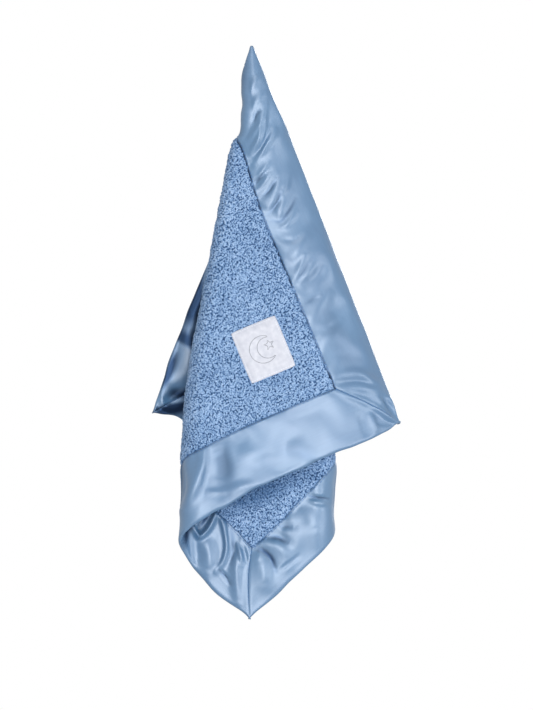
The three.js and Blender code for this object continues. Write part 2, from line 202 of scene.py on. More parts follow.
# Moves places near the outer edges outwards
def edgeOut(t, share):
    reach = hanging["edgeOutReach"]
    ends = np.exp((t - side) / reach) - np.exp(-t / reach)
    return t + hanging["edgeOut"] * share * ends


# Where points of the flat blanket are when it hangs, in millimetres
def hang(u, v):
    share = smooth(np.hypot(u, v), *hanging["edgeOutFrom"])
    u, v = edgeOut(u, share), edgeOut(v, share)
    r = np.maximum(np.hypot(u, v), 1e-3)
    lean, layer, wave, run = lie(r, np.degrees(np.arctan2(v, u)))
    reach = r * (1 - hanging["backSlack"] * smooth(run))
    x = reach * np.sin(np.radians(lean)) - hanging["cornerLeft"]
    z = hanging["cornerAbove"] - reach * np.cos(np.radians(lean))
    corner = math.hypot(hanging["cornerLeft"], hanging["cornerAbove"])
    free = pitch(r) * layer + wave - hanging["forwardTilt"] * (r - corner)
    gripPitch = satinStack + hanging["threadRoom"]
    under = smooth(r, plushStart, plushStart + blanket["seamAllowance"])
    pressed = layer * mix(gripPitch, pitch(r), under)
    outX = np.maximum(np.abs(x) - hanging["gripWidth"] / 2, 0)
    outZ = np.maximum(np.abs(z) - hanging["gripHeight"] / 2, 0)
    gripShare = 1 - smooth(np.hypot(outX, outZ), 0, hanging["gripFade"])
    y = mix(free, pressed, gripShare) + leafOuter
    return np.stack([x, y, z], -1), layer


# The way the blanket's front faces
def facing(u, v):
    step = 0.4
    du = hang(u + step, v)[0] - hang(u - step, v)[0]
    dv = hang(u, v + step)[0] - hang(u, v - step)[0]
    normal = np.cross(dv, du)
    return normal / np.maximum(np.linalg.norm(normal, axis=-1, keepdims=True), 1e-9)


# Making cloth
def makeObject(name, bm):
    mesh = bpy.data.meshes.new(name)
    bm.to_mesh(mesh)
    bm.free()
    piece = bpy.data.objects.new(name, mesh)
    scene.collection.objects.link(piece)
    return piece


def placesOf(mesh):
    co = np.empty(len(mesh.vertices) * 3)
    mesh.vertices.foreach_get("co", co)
    return co.reshape(-1, 3)


def fill(data, key, values):
    data.foreach_set(key, np.asarray(values, np.float32).ravel())


# A grid of flat cloth as an object, with its vertices' places from 0 to 1 each way
def flatCloth(name, across, down):
    bm = bmesh.new()
    bmesh.ops.create_grid(bm, x_segments=across, y_segments=down, size=0.5)
    piece = makeObject(name, bm)
    grid = placesOf(piece.data) + 0.5
    return piece, grid[:, 0], grid[:, 1]


# Hangs the flat cloth up: each vertex stands at a height over its place on the blanket. Its weave
# follows the blanket, or else the piece's own length and width.
def hangUp(piece, u, v, height, weave=None):
    outwards = facing(u, v)
    mesh = piece.data
    fill(mesh.vertices, "co", (hang(u, v)[0] + outwards * height[:, None]) * 0.001)
    mesh.update()
    sample = mesh.polygons[len(mesh.polygons) // 4]
    vertex = sample.vertices[0]
    if sample.normal.dot(Vector(outwards[vertex]) * math.copysign(1, height[vertex])) < 0:
        mesh.flip_normals()
    cloth = mesh.uv_layers.new(name="cloth")
    loops = np.empty(len(mesh.loops), int)
    mesh.loops.foreach_get("vertex_index", loops)
    fill(cloth.data, "uv", np.stack(weave or (u, v), -1)[loops] * 0.001)
    mesh.shade_smooth()
    mesh.update()


def addVertexValue(piece, name, values):
    attribute = piece.data.attributes.new(name, "FLOAT", "POINT")
    fill(attribute.data, "value", values)


# Gives a sheet its thickness, inwards from the surface that shows
def thicken(piece, millimetres):
    solid = piece.modifiers.new("thickness", "SOLIDIFY")
    solid.thickness = millimetres * 0.001
    solid.offset = -1


def settle(piece, slot, material, *nodes):
    piece.data.materials.append(material)
    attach(piece, "root")
    if nodes:
        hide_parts(*nodes)
    return piece


# Creases of the satin. Each is a line of (x, z) points in the hung blanket, its half width, its
# height, where below 0 it is a valley, and for some the half width on its right-hand side
frontCreases = [
    # from the corner past the grip
    ([(-2, 8), (-3, -8), (-4, -24), (-9, -38), (-17, -50)], 2.6, 2.2, 8),
    ([(-3, 24), (-10, 20), (-15, 12), (-16, 4)], 3.4, 1.5),
    ([(-3, 9), (-10, 4), (-15, -4), (-18, -14)], 3.2, 1.6),
    ([(-5, -4), (-11, -9), (-14, -17)], 2.8, -1.2),
    ([(-5, -12), (-9, -20), (-14, -28), (-20, -33)], 3.2, 1.6),
    ([(-6, -20), (-9, -31), (-16, -42)], 2.4, 1.8),
    ([(6, -17), (2, -29), (-5, -41), (-13, -52)], 2.8, 2),
    ([(1, -24), (-6, -37), (-14, -47)], 2, -1.8),
    ([(0, -52), (-6, -60), (-9, -66)], 2.4, 1.4),
    # puckers along the right seam
    ([(-14, -71), (-9, -66), (-3, -59)], 2.3, -1.6),
    ([(-11, -76), (-5, -70), (1, -62)], 2.2, 1.2),
    ([(-6, -82), (1, -75), (7, -65)], 2.5, -1.7),
    ([(0, -96), (7, -87), (11, -75)], 3, -2.2),
    ([(3, -102), (11, -102), (19, -91), (23, -82)], 2.8, -2.2),
    ([(7, -107), (15, -106), (24, -95)], 2.8, 1.8),
    ([(6, -84), (14, -73), (17, -63)], 2.9, 1.3),
    ([(12, -119), (21, -119), (28, -115)], 2.6, -1.3),
    ([(17, -138), (26, -127), (36, -111)], 5.4, 1.8),
    ([(24, -156), (30, -146), (35, -138)], 2.8, -1.8),
    ([(27, -160), (38, -153), (47, -139)], 4.6, -2.2),
    ([(25, -152), (28, -141), (33, -129)], 2.8, 1.4),
    ([(30, -176), (38, -171), (45, -167)], 2.8, -1.4),
    ([(33, -187), (45, -176), (56, -162)], 5.4, 1.6),
    ([(43, -138), (57, -171), (68, -206)], 8, -2.2),
    ([(36, -102), (50, -138), (61, -167)], 9, 1.8),
    ([(42, -201), (52, -197), (63, -187)], 3.4, -1.3),
    # the bottom right corner
    ([(56, -239), (75, -235), (94, -245)], 3.8, 1.5),
    ([(61, -243), (77, -242), (90, -246)], 2.4, -1.8),
    ([(58, -248), (76, -249), (94, -251)], 3, 1.3),
    ([(64, -253), (80, -259), (98, -268)], 3, 1.6),
    ([(97, -256), (105, -265), (112, -274)], 2.4, -3.4),
    ([(92, -265), (101, -272), (111, -279)], 2.4, 3.2),
    ([(104, -256), (110, -265), (115, -274)], 2.2, 2.6),
    ([(94, -278), (103, -279), (112, -281)], 2.2, -2.6),
    ([(87, -268), (91, -278), (94, -288)], 3, 2.2),
    ([(80, -273), (83, -282), (85, -291)], 3, -2),
    # the bottom side
    ([(-56, -294), (-57, -313), (-62, -332), (-70, -353)], 4, 4.6, 5.5),
    ([(-73, -309), (-73, -332), (-75, -350)], 4, -3.4),
    ([(-45, -297), (-41, -313), (-42, -329)], 8, -4),
    ([(-36, -341), (-24, -334), (-10, -331)], 4.6, 1.4),
    ([(-52, -338), (-42, -338), (-33, -336)], 2.6, 1.2),
    ([(-8, -311), (5, -313), (18, -321)], 7, -1.3),
    ([(14, -299), (29, -302), (42, -312)], 8, 1.3),
    ([(-28, -303), (-13, -306), (2, -302)], 8, 1.2),
]
middleCreases = [
    # the hollow under the bottom side's fold, its rim, and the folds that hang from it
    ([(-61, -371), (-55, -362), (-49, -353)], 3.6, -9),
    ([(-68, -370), (-61, -378), (-53, -372), (-48, -362), (-46, -353)], 2.4, 8),
    ([(-47, -356), (-41, -364), (-38, -376), (-37, -388), (-40, -400), (-46, -408)], 3.4, 5.5, 2.2),
    ([(-34, -366), (-31, -382), (-32, -402)], 4, -2.8),
    ([(-57, -380), (-52, -392), (-52, -408)], 7, 4),
    ([(-74, -368), (-68, -382), (-64, -400)], 5, -3.5),
    ([(-28, -386), (-28, -402), (-28, -418), (-26, -436)], 5.2, 3.6),
    ([(-43, -406), (-38, -413), (-33, -420)], 1.5, -2),
    # puckers at the mitre, and folds that run out from it
    ([(-31, -378), (-25, -392), (-23, -404)], 1.9, 2.4),
    ([(-22, -387), (-19, -400)], 1.8, -2.4),
    ([(-12, -388), (-4, -391), (2, -398), (5, -408)], 4.4, -2.6),
    ([(0, -378), (8, -378), (19, -384)], 4, -2.2),
    ([(9, -371), (15, -369), (22, -370)], 3.4, -1.8),
    ([(-8, -399), (-4, -408), (-3, -420)], 5.5, 2.2),
    ([(-6, -383), (6, -385), (14, -393), (17, -404)], 5, 2.2),
    ([(11, -407), (19, -401), (27, -395)], 1.7, -1.6),
    ([(34, -342), (42, -344), (51, -345)], 2, -2.4),
    ([(35, -347), (42, -349), (50, -350)], 2.2, 1.4),
    ([(26, -352), (36, -360), (41, -372)], 7, 2.6),
    ([(52, -318), (55, -336), (54, -356)], 6, -3),
]
backCreases = [
    # the corner that hangs behind, which turns away at the top and stands out lower down
    ([(-55, -200), (-60, -216), (-64, -232), (-70, -252)], 14, 15, 17),
    ([(-78, -246), (-83, -254), (-88, -268)], 8, -1.6),
    ([(-96, -254), (-93, -262), (-88, -265)], 3.4, 2.5),
]
# Painted shade, where the satin's colour is made deeper in its hollows and folds: lines as for
# creases, with a depth of shade for a height
frontShadeLines = [
    ([(-77, -290), (-77, -325), (-78, -358)], 5, 1.5),
    ([(-20, 40), (-22, 10), (-24, -26)], 4.5, 1),
    ([(-5, -4), (-11, -9), (-14, -17)], 2, 0.7),
    ([(-14, -71), (-9, -66), (-3, -59)], 1.8, 0.9),
    ([(-6, -82), (1, -75), (7, -65)], 2, 0.9),
    ([(0, -96), (7, -87), (11, -75)], 2.2, 0.9),
    ([(3, -102), (11, -102), (19, -91), (23, -82)], 2, 1),
    ([(24, -156), (30, -146), (35, -138)], 2, 0.6),
    ([(30, -176), (38, -171), (45, -167)], 2, 0.5),
    ([(44, -180), (60, -206), (74, -232)], 10, 0.4),
    ([(-44, -298), (-38, -312), (-36, -328)], 9, 0.6),
    ([(12, -303), (28, -305), (44, -313)], 6, 0.35),
]
middleShadeLines = [
    ([(-61, -371), (-55, -362), (-49, -353)], 2.6, 1.9),
    ([(-63, -360), (-70, -368), (-75, -386)], 4, 1.5),
    ([(-12, -388), (-4, -391), (3, -398), (6, -408)], 3, 1.7),
    ([(0, -379), (8, -379), (17, -384)], 2.6, 1.2),
    ([(8, -370), (14, -369), (20, -370)], 2, 0.7),
    ([(-34, -368), (-31, -384), (-33, -402)], 2.6, 0.8),
    ([(33, -342), (42, -344), (52, -345)], 1.2, 1.6),
    ([(-44, -406), (-38, -413), (-33, -421)], 1, 1.4),
]
backShadeLines = [
    ([(-58, -140), (-67, -176), (-74, -200)], 11, 1.9),
    ([(-94, -192), (-78, -203), (-66, -210), (-50, -220)], 16, 1.8, 2.6),
    ([(-81, -213), (-87, -232), (-95, -252)], 5, 1.9),
    ([(-68, -250), (-78, -253), (-90, -252)], 6, 1.6),
    ([(-64, -260), (-82, -265), (-104, -270)], 8, 2.2, 5.5),
]

# Where the plush lies in the shade under the bottom side
plushShade = [([(-52, -358), (-22, -346), (2, -336), (34, -320)], 11, 1.5)]


# The height that a list of creases gives at points (x, z): each is a ridge with a shallow dip on
# either side, which fades towards the line's ends
def creaseHeight(creases, x, z):
    height = np.zeros_like(x)
    for points, halfWidth, depth, *otherHalf in creases:
        corners = np.arange(len(points))
        at = np.linspace(0, corners[-1], 6 * corners[-1] + 1)
        line = [along(list(zip(corners, values)), at) for values in zip(*points)]
        stops = np.stack(line, -1)
        reach = 5 * max([halfWidth, *otherHalf])
        (left, low), (right, high) = stops.min(axis=0) - reach, stops.max(axis=0) + reach
        near = (x > left) & (x < right) & (z > low) & (z < high)
        px, pz = x[near], z[near]
        legs = np.diff(stops, axis=0)
        lengths = np.hypot(*legs.T)
        whole = lengths.sum()
        nearest = np.full(px.shape, 1e9)
        share, offLine = np.zeros_like(px), np.zeros_like(px)
        before = 0
        for start, leg, length in zip(stops, legs, lengths):
            dx, dz = px - start[0], pz - start[1]
            t = np.clip((dx * leg[0] + dz * leg[1]) / length**2, 0, 1)
            away = np.hypot(dx - t * leg[0], dz - t * leg[1])
            closer = away < nearest
            nearest = np.where(closer, away, nearest)
            share = np.where(closer, (before + t * length) / whole, share)
            offLine = np.where(closer, (leg[0] * dz - leg[1] * dx) / length, offLine)
            before += length
        onRight = smooth(0.5 - offLine / halfWidth / 2)
        width = mix(halfWidth, otherHalf[0] if otherHalf else halfWidth, onRight)
        taper = np.sin(np.pi * np.clip(share, 0.04, 0.96)) ** 0.6
        beside = np.exp(-(nearest / width / 2.3) ** 2)
        ridge = np.exp(-(nearest / width) ** 2) - 0.35 * beside
        height[near] += depth * taper * ridge
    return height


# How much painted shade points get from a list of lines, from 0 to 1
def paintedShadeAt(lines, x, z):
    return np.clip(np.max([creaseHeight([line], x, z) for line in lines], axis=0), 0, 1)


# A measure of three lists of lines, each on its leaf that shows: the front layer's front, the
# middle one's back and the back one's front
def onShownLeaves(measure, lists, face, layer, x, z):
    total = np.zeros_like(x)
    for shownFace, shownLayer, lines in zip((1, -1, 1), (0, 1, 2), lists):
        shown = (face == shownFace) & (np.abs(layer - shownLayer) < 0.5)
        total[shown] = measure(lines, x[shown], z[shown])
    return total


# A smooth random line: one value each step, the same each run
def randomLine(seed, t):
    values = np.random.default_rng(seed).uniform(-1, 1, 512)
    i = np.floor(t).astype(int) % 511
    return mix(values[i], values[i + 1], smooth(t - np.floor(t)))


sewing = {
    "columns": (13, 11),  # of the simulated satin's grid, front and back leaf
    "rows": 90,
    "frames": 30,
    "start": 0.5,  # height of the random waves that it starts from
    "startReach": 6,  # they come in over this width beside a seam and the outer edge
    "longer": 0.01,  # the strip is cut longer than the side it is sewn to
    "growthReach": 9,
    "scale": 0.01,  # simulated with 100 mm as its unit
    "cloth": {
        "quality": 4, "mass": 0.1, "tension_stiffness": 15, "compression_stiffness": 15,
        "shear_stiffness": 5, "bending_stiffness": 5, "air_damping": 3,
        "shrink_min": -0.06,  # loose cloth beside the seams, in both directions
        "shrink_max": -0.005,
    },
}


# Sews a flat strip of satin down along its two seams and its outer edge, and lets the loose cloth
# buckle. Gives a function for the height of the puckers.
def sewDown(name, seed, share):
    scale = sewing["scale"]
    frontColumns, backColumns = sewing["columns"]
    columns, rows = frontColumns + backColumns, sewing["rows"]
    strip, a, b = flatCloth(name, columns, rows)
    i, j = np.rint(a * columns).astype(int), np.rint(b * rows).astype(int)
    place = np.where(i < frontColumns, (i - frontColumns) / frontColumns * front,
                     (i - frontColumns) / backColumns * back)
    w = np.abs(place)
    fromSeam = np.where(place <= 0, front, back) - w
    start = np.random.default_rng(seed).uniform(-1, 1, (columns + 1, rows + 1))
    for _ in range(3):
        start[1:-1] = (start[:-2] + start[1:-1] + start[2:]) / 3
        start[:, 1:-1] = (start[:, :-2] + 2 * start[:, 1:-1] + start[:, 2:]) / 4
    z = start[i, j] / start.std() * sewing["start"]
    z = z * np.clip(fromSeam / sewing["startReach"], 0, 1) * np.clip(w / sewing["startReach"], 0, 1)
    fill(strip.data.vertices, "co", np.stack([side * b, place, z], -1) * scale)
    strip.shape_key_add(name="sewn")
    asCut = strip.shape_key_add(name="cut")
    cut = np.stack([side * b * (1 + sewing["longer"]), place, 0 * z], -1) * scale
    fill(asCut.data, "co", cut)
    pinned = strip.vertex_groups.new(name="sewn down")
    held = (fromSeam < 0.3) | (w < 0.8)
    pinned.add(np.flatnonzero(held).tolist(), 1, "REPLACE")
    firm = strip.vertex_groups.new(name="firm")
    for vertex, weight in enumerate(1 - np.exp(-fromSeam / sewing["growthReach"])):
        firm.add([vertex], float(weight), "REPLACE")
    scene.frame_set(1)
    cloth = strip.modifiers.new("cloth", "CLOTH")
    settings = cloth.settings
    for key, value in sewing["cloth"].items():
        setattr(settings, key, value)
    settings.rest_shape_key = asCut
    settings.vertex_group_mass = pinned.name
    settings.vertex_group_shrink = firm.name
    settings.effector_weights.gravity = 0
    cloth.point_cache.frame_start = 1
    cloth.point_cache.frame_end = sewing["frames"]
    for step in range(1, sewing["frames"] + 1):
        scene.frame_set(step)
    settled = strip.evaluated_get(bpy.context.evaluated_depsgraph_get())
    z = placesOf(settled.data)[:, 2] / scale
    scene.frame_set(1)
    heights = np.zeros((columns + 1, rows + 1))
    heights[i, j] = z * share
    bpy.data.objects.remove(strip)

    def puckers(face, w, alongSide):
        columnAt = np.where(face > 0, frontColumns * (1 - w / front),
                            frontColumns + backColumns * w / back)
        rowAt = alongSide / side * rows
        i, j = np.floor(columnAt).astype(int), np.floor(rowAt).astype(int)
        total = np.zeros_like(rowAt)
        for n, inColumn in zip(range(-1, 3), splineWeights(columnAt - i)):
            for m, inRow in zip(range(-1, 3), splineWeights(rowAt - j)):
                value = heights[np.clip(i + n, 0, columns), np.clip(j + m, 0, rows)]
                total += inColumn * inRow * value
        return total

    return puckers


# Shares of four neighbours in a smooth curve between the middle two
def splineWeights(t):
    return ((1 - t) ** 3 / 6, (3 * t**3 - 6 * t**2 + 4) / 6,
            (-3 * t**3 + 3 * t**2 + 3 * t + 1) / 6, t**3 / 6)


# Broad, soft swells of the whole cloth
def swell(u, v):
    return 0.5 * (
        np.sin(u / 19 + 0.7 * np.sin(v / 31)) * np.cos(v / 23 + 1.3)
        + 0.6 * np.sin((u + v) / 13 + 2 * np.sin(u / 47))
    )


relief = {
    "puff": 1.3,  # how far the middle of a leaf stands out
    "swell": 1.2,
    "swellFrom": (24, 104),  # distances from the held corner
    "looseFrom": (30, 90),  # nearer to it there are no puckers, tucks or thick corner
    # share of the simulated height that is used
    "puckers": {"right": 0.62, "bottom": 0.4, "left": 0.5, "top": 0.5},
    "gather": 0.6,  # the small tucks at the stitching
    "gatherStep": 3.6,
    "gatherReach": 3.5,
    "hem": 2,  # the leaf dips to its seam over this width
    "mitreQuiet": 12,  # beside a mitre the puckers and tucks fade out
    "mitreDip": 0.6,
    "cornerSwell": 1.6,  # the corners are thick with folded-in cloth
    "cornerReach": 7,
    "tube": 5,  # how far the cloth stands out, rounded, above and below the grip
    "tubeReach": (0, 30, 66, 105),  # comes in and goes out over these distances
    "tubeAngle": 38,
    "leastRoom": 0.4,  # of a leaf that lies against another layer
    "roomShare": (0.5, 0.7),  # of the air between them, in front and in the back layer
    "lowest": (1.0, 1.35),  # of a leaf alone, and over the panel's edge
    "overPanel": (14, 9),  # where that edge begins, in from the seam
}


# Height of a satin leaf above the blanket's middle. alongSide runs round the side, w in from the
# outer edge.
def leafHeight(u, v, w, alongSide, width, face, seed, puckers):
    points, layer = hang(u, v)
    x, z = points[..., 0], points[..., 2]
    r = np.hypot(u, v)
    fromSeam = np.clip(width - w, 0, width)
    toEnd = np.minimum(alongSide, side - alongSide)
    toMitre = np.abs(toEnd - w)
    loose = smooth(r, *relief["looseFrom"])
    quiet = loose * smooth(toMitre, 0, relief["mitreQuiet"])
    tucks = randomLine(seed + 1, alongSide / relief["gatherStep"])
    crown = np.sin(np.pi * np.clip(w / width, 0, 1)) ** 0.7
    height = leafCentre + relief["puff"] * crown
    height += relief["swell"] * swell(u, v) * smooth(r, *relief["swellFrom"])
    height += puckers(face, w, alongSide) * quiet
    height += relief["gather"] * tucks * np.exp(-fromSeam / relief["gatherReach"]) * quiet
    height -= relief["mitreDip"] * np.exp(-((toMitre / 1.8) ** 2))
    thick = np.exp(-((np.hypot(w, toEnd) / relief["cornerReach"]) ** 2))
    height += relief["cornerSwell"] * thick * loose
    if face > 0:
        across = np.clip(np.degrees(np.arctan2(v, u)) / relief["tubeAngle"], 0, 1)
        tube = np.sin(np.pi * across) ** 0.8 * hump(r, *relief["tubeReach"])
        height += relief["tube"] * tube * (layer < 0.5)
    # creases fade out beside the outer edge and the seam
    creases = onShownLeaves(creaseHeight, (frontCreases, middleCreases, backCreases),
                            face, layer, x, z)
    height += creases * smooth(w, 0, 4) * smooth(fromSeam, 0, 2)
    # where another layer lies against this leaf, it keeps to its share of the room between them
    share = np.where(layer > 1.5, relief["roomShare"][1], relief["roomShare"][0])
    room = relief["leastRoom"] + share * np.maximum(pitch(r) - satinStack, 0)
    free = (layer < 0.5) if face > 0 else (layer > 1.5)
    height = np.where(free, height, leafOuter + room * np.tanh((height - leafOuter) / room))
    # it never sinks into the panel's edge or the other leaf
    lowest = mix(*relief["lowest"], smooth(fromSeam, *relief["overPanel"]))
    height = lowest + 0.3 * np.logaddexp(0, (height - lowest) / 0.3)
    return mix(blanket["allowance"] + 0.55, height, smooth(fromSeam, 0, relief["hem"]))


# Materials
def linear(hexColour):
    channels = [int(hexColour[i:i + 2], 16) / 255 for i in (1, 3, 5)]
    lit = [c / 12.92 if c <= 0.04045 else ((c + 0.055) / 1.055) ** 2.4 for c in channels]
    return (*lit, 1)


def newMaterial(name):
    material = bpy.data.materials.new(name)
    material.use_nodes = True
    material.node_tree.nodes.clear()
    return material, material.node_tree


# Adds a node with its settings, values for its inputs, links into them, and a ramp's stops
def addNode(tree, kind, settings={}, values={}, links={}, stops=()):
    node = tree.nodes.new("ShaderNode" + kind)
    for key, value in settings.items():
        setattr(node, key, value)
    for key, value in values.items():
        node.inputs[key].default_value = value
    for key, source in links.items():
        tree.links.new(source, node.inputs[key])
    for _ in stops[2:]:
        node.color_ramp.elements.new(0.5)
    for i, (place, colour) in enumerate(stops):
        node.color_ramp.elements[i].position = place
        node.color_ramp.elements[i].color = linear(colour)
    return node


# Ends a material with its bumps, each on top of the one before, and its shader
def finishMaterial(material, values, links={}, bumps=()):
    tree = material.node_tree
    normal = {}
    for source, strength, distance in bumps:
        bump = addNode(tree, "Bump", {}, {"Strength": strength, "Distance": distance},
                       {"Height": source.outputs["Fac"], **normal})
        normal = {"Normal": bump.outputs["Normal"]}
    shader = addNode(tree, "BsdfPrincipled", {}, values, {**links, **normal})
    addNode(tree, "OutputMaterial", links={"Surface": shader.outputs["BSDF"]})
    return material


# A wave texture's bands are a tenth of pi apart: its scale for bands these millimetres apart
def bandScale(millimetres):
    return 1000 * 0.31415 / millimetres


# Polyester satin, woven with long floats: deep blue where it turns away, and a broad white sheen
# where it faces the light, drawn out along the floats. Faint slubs of 17 by 1.1 mm cross it, its
# tone varies over 70 mm, and the weave of 0.35 mm threads is drawn at 0.7 mm so that it shows.
def makeSatin():
    material, tree = newMaterial("polyester satin")
    cloth = addNode(tree, "UVMap", {"uv_map": "cloth"}).outputs["UV"]
    slubPlace = addNode(tree, "Mapping", {}, {"Scale": (60, 900, 1)}, {"Vector": cloth})
    slub = addNode(tree, "TexNoise", {}, {"Scale": 1, "Detail": 3},
                   {"Vector": slubPlace.outputs["Vector"]})
    place = addNode(tree, "TexCoord").outputs["Object"]
    tone = addNode(tree, "TexNoise", {}, {"Scale": 14, "Detail": 2}, {"Vector": place})
    both = addNode(tree, "Mix", {"data_type": "FLOAT"}, {"Factor": 0.35},
                   {"A": tone.outputs["Fac"], "B": slub.outputs["Fac"]})
    colour = addNode(tree, "ValToRGB", links={"Fac": both.outputs["Result"]},
                     stops=[(0.3, "#426a91"), (0.7, "#4f789e")])
    # Painted shade: where this attribute is high, the colour goes to dark navy and the metallic
    # rises, so folds and seams look shaded
    shadeMask = addNode(tree, "Attribute", {"attribute_name": "hollow"}).outputs["Fac"]
    shaded = addNode(tree, "Mix", {"data_type": "RGBA"}, {7: linear("#1d3350")},
                     {0: shadeMask, 6: colour.outputs["Color"]})
    shadeMetallic = addNode(tree, "Math", {"operation": "MULTIPLY_ADD"}, {1: 0.85, 2: 0.08}, {0: shadeMask})
    threads = addNode(tree, "TexWave", {"bands_direction": "DIAGONAL"},
                      {"Scale": bandScale(0.7), "Distortion": 0.4}, {"Vector": cloth})
    floats = addNode(tree, "Tangent", {"direction_type": "UV_MAP", "uv_map": "cloth"})
    return finishMaterial(
        material,
        {"Roughness": 0.45, "IOR": 1.65, "Specular IOR Level": 1.0, "Anisotropic": 0.6,
         "Sheen Weight": 0.05, "Sheen Roughness": 0.4, "Sheen Tint": linear("#cfe2f7")},
        {"Base Color": shaded.outputs[2], "Metallic": shadeMetallic.outputs["Value"],
         "Tangent": floats.outputs["Tangent"]},
        [(threads, 0.06, 0.0001), (slub, 0.12, 0.0002)])


# Looped microfibre plush: matt, with painted shade from the pile attribute: the tips of the loops
# pale and the gaps between them deep blue, with a grain of 0.7 mm and patches of 25 mm
def makePlush():
    material, tree = newMaterial("looped microfibre plush")
    # the pile attribute is painted shade: low in the gaps between tufts, beside a seam and under
    # the bottom side
    depth = addNode(tree, "Attribute", {"attribute_name": "pile"}).outputs["Fac"]
    place = addNode(tree, "TexCoord").outputs["Object"]
    fibre = addNode(tree, "TexNoise", {}, {"Scale": 1400, "Detail": 3}, {"Vector": place})
    patch = addNode(tree, "TexNoise", {}, {"Scale": 40, "Detail": 2}, {"Vector": place})
    fuzz = addNode(tree, "Math", {"operation": "MULTIPLY_ADD"}, {1: 0.3},
                   {0: fibre.outputs["Fac"], 2: depth})
    shade = addNode(tree, "Math", {"operation": "MULTIPLY_ADD"}, {1: 0.25},
                    {0: patch.outputs["Fac"], 2: fuzz.outputs["Value"]})
    level = addNode(tree, "Math", {"operation": "SUBTRACT"}, {1: 0.27}, {0: shade.outputs["Value"]})
    colour = addNode(
        tree, "ValToRGB", links={"Fac": level.outputs["Value"]},
        stops=[(0.05, "#1e3b60"), (0.42, "#466892"), (0.74, "#7f9ec5"), (1.0, "#a8c2e2")])
    return finishMaterial(
        material,
        {"Roughness": 0.95, "Specular IOR Level": 0.1, "Sheen Weight": 0.2,
         "Sheen Roughness": 0.6, "Sheen Tint": linear("#b9cff2")},
        {"Base Color": colour.outputs["Color"]}, [(fibre, 0.5, 0.0004)])


# Woven label tape: close white weave, slightly glossy, with a 0.5 mm rib and a mottle of 4.5 mm
def makeLabelWeave():
    material, tree = newMaterial("white woven label")
    cloth = addNode(tree, "UVMap", {"uv_map": "cloth"}).outputs["UV"]
    rib = addNode(tree, "TexWave", {"bands_direction": "X"},
                  {"Scale": bandScale(0.5), "Distortion": 0.6}, {"Vector": cloth})
    tone = addNode(tree, "TexNoise", {}, {"Scale": 220, "Detail": 3}, {"Vector": cloth})
    colour = addNode(tree, "ValToRGB", links={"Fac": tone.outputs["Fac"]},
                     stops=[(0.3, "#c0c3ce"), (0.7, "#d0d2db")])
    return finishMaterial(material, {"Roughness": 0.6, "Specular IOR Level": 0.35},
                          {"Base Color": colour.outputs["Color"]}, [(rib, 0.2, 0.0002)])


# Spun polyester thread: a fine twist, slanted at 0.4 mm, with a painted highlight on top of each
# ply and painted shade between them
def makeThread(name, dark, pale):
    material, tree = newMaterial(name)
    place = addNode(tree, "TexCoord").outputs["Object"]
    twist = addNode(tree, "TexWave", {"bands_direction": "DIAGONAL"},
                    {"Scale": bandScale(0.4), "Distortion": 1}, {"Vector": place})
    colour = addNode(tree, "ValToRGB", links={"Fac": twist.outputs["Fac"]},
                     stops=[(0.2, dark), (0.8, pale)])
    return finishMaterial(material, {"Roughness": 0.6}, {"Base Color": colour.outputs["Color"]},
                          [(twist, 0.3, 0.0001)])


satin = makeSatin()
plush = makePlush()
labelWeave = makeLabelWeave()
blueThread = makeThread("blue sewing thread", "#34598b", "#5c86b7")
whiteThread = makeThread("white sewing thread", "#cfd2de", "#eceef5")
greyThread = makeThread("grey embroidery thread", "#5f646e", "#8a8f99")
print("materials made")

# The label's place, which the pile gives way to
label = {
    "width": 42,
    "height": 48,
    "fromRightSeam": 22,
    "fromBottomSeam": 30,
    "thickness": 0.6,
    "cornerRound": 1,
    "lift": 2.6,  # of its underside over the blanket's middle, pressed into the pile
    "crown": 1.3,  # how far its middle stands higher than its stitched edge
    "crownReach": 7,
    "wave": 0.35,
    "stitchInset": 1.8,
}
# its middle on the flat blanket
labelU = side - front - label["fromBottomSeam"] - label["height"] / 2
labelV = front + label["fromRightSeam"] + label["width"] / 2


# How far a point lies outside the label, below 0 inside it
def outsideLabel(u, v):
    return np.maximum(np.abs(u - labelU) - label["height"] / 2,
                      np.abs(v - labelV) - label["width"] / 2)


def labelHeight(u, v):
    inward = np.clip(-outsideLabel(u, v), 0, None)
    wave = label["wave"] * np.sin(u / 6.5 + 1) * np.cos(v / 9)
    crown = (label["crown"] + wave) * smooth(inward, 0, label["crownReach"])
    return label["lift"] + label["thickness"] + crown


# Plush panels
plushPanel = {
    "backingHigh": 1.1,  # top of the backing cloth over the blanket's middle
    "backingThickness": 0.5,
    "backingStep": 4,
    "pileStep": 0.46,  # between the vertices of the pile
    "tuft": 1.4,  # from one tuft to the next
    "tuftDepth": 2,
    "smallTuft": 0.6,  # smaller tufts among them, by size and share
    "smallShare": 0.25,
    "clump": 0.4,  # height of broader unevenness
    "shoulder": 3,  # over which the pile stands up beside a seam
    "overhang": 1.4,  # how far it leans over the seam
    "underStrip": 2.5,  # the pile starts this far inside the strip
    "shade": 0.4,  # how much darker it is in the shade
}


def fromEdge(u, v):
    return np.minimum(np.minimum(u, side - u), np.minimum(v, side - v))


